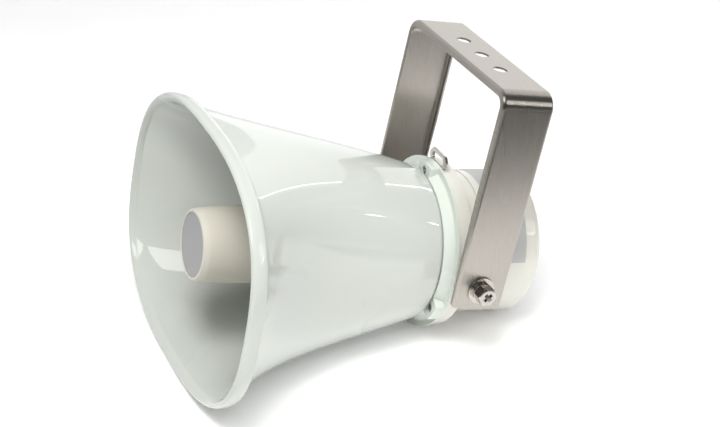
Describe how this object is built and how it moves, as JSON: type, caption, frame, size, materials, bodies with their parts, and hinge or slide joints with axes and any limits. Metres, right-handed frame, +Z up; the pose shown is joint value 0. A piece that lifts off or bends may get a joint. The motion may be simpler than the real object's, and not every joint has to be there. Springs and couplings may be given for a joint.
{
  "type": "horn speaker",
  "caption": "Reflex horn loudspeaker with a wide oval flare, round driver housing and a tilting stainless U bracket with bolt holes.",
  "frame": {"origin": "middle of the bounding box's underside, on the surface that the speaker rests on", "axes": "+Z up, -Y towards the horn mouth, +X to the side; the horn axis rises about 9 degrees towards the mouth"},
  "size_m": [0.272, 0.2952, 0.2183],
  "materials": {
    "flare_gloss": "glossy off-white with a faint green tint",
    "collar_gloss": "glossy off-white, a little greener than the flare",
    "housing_ivory": "smooth ivory with a soft gloss",
    "bullet_beige": "satin warm beige",
    "badge_grey": "plain satin grey disc",
    "bracket_stainless": "brushed stainless strip",
    "stainless_hardware": "bright stainless",
    "screw_steel": "plated steel",
    "seal_rubber": "matt black rubber",
    "seal_silicone": "pale silicone sheet",
    "gland_nylon": "grey nylon",
    "phase_plug_resin": "black moulded resin",
    "diaphragm_film": "amber phenolic film",
    "copper_wire": "enamelled copper",
    "motor_steel": "zinc plated steel",
    "ferrite": "dark ferrite",
    "insert_brass": "turned brass"
  },
  "bodies": {
    "speaker": {"horn_flare": "flare_gloss", "clamp_collar": "collar_gloss", "driver_housing": "housing_ivory", "rear_cover": "housing_ivory", "reflex_bullet": "bullet_beige", "throat_tube": "bullet_beige", "bullet_badge": "badge_grey", "safety_eye": "stainless_hardware", "pivot_bolts": "stainless_hardware", "flat_washers": "stainless_hardware", "spring_washers": "stainless_hardware", "collar_screws": "screw_steel", "throat_screws": "screw_steel", "cover_screws": "screw_steel", "strap_screws": "screw_steel", "gland_seal": "seal_rubber", "flare_gasket": "seal_silicone", "cover_gasket": "seal_silicone", "gland_body": "gland_nylon", "gland_nut": "gland_nylon", "gland_locknut": "gland_nylon", "phase_plug": "phase_plug_resin", "diaphragm_clamp": "phase_plug_resin", "diaphragm_surround": "diaphragm_film", "transformer_winding": "copper_wire", "top_plate": "motor_steel", "pole_yoke": "motor_steel", "transformer_core": "motor_steel", "transformer_strap": "motor_steel", "magnet_ring": "ferrite", "pivot_inserts": "insert_brass"},
    "bracket": {"mounting_bracket": "bracket_stainless"},
    "diaphragm": {"diaphragm_dome": "diaphragm_film", "voice_coil": "copper_wire"}
  },
  "joints": [
    {"name": "bracket_tilt", "type": "hinge", "parent": "speaker", "child": "bracket", "pos_m": [0, 0.06878, 0.0637], "axis": [1, 0, 0], "range_deg": [-93, 50]},
    {"name": "diaphragm_travel", "type": "slide", "parent": "speaker", "child": "diaphragm", "axis": [0, 0.9872, -0.1597], "range_m": [-0.0004, 0.0004], "stiffness_N_per_m": 2000}
  ]
}
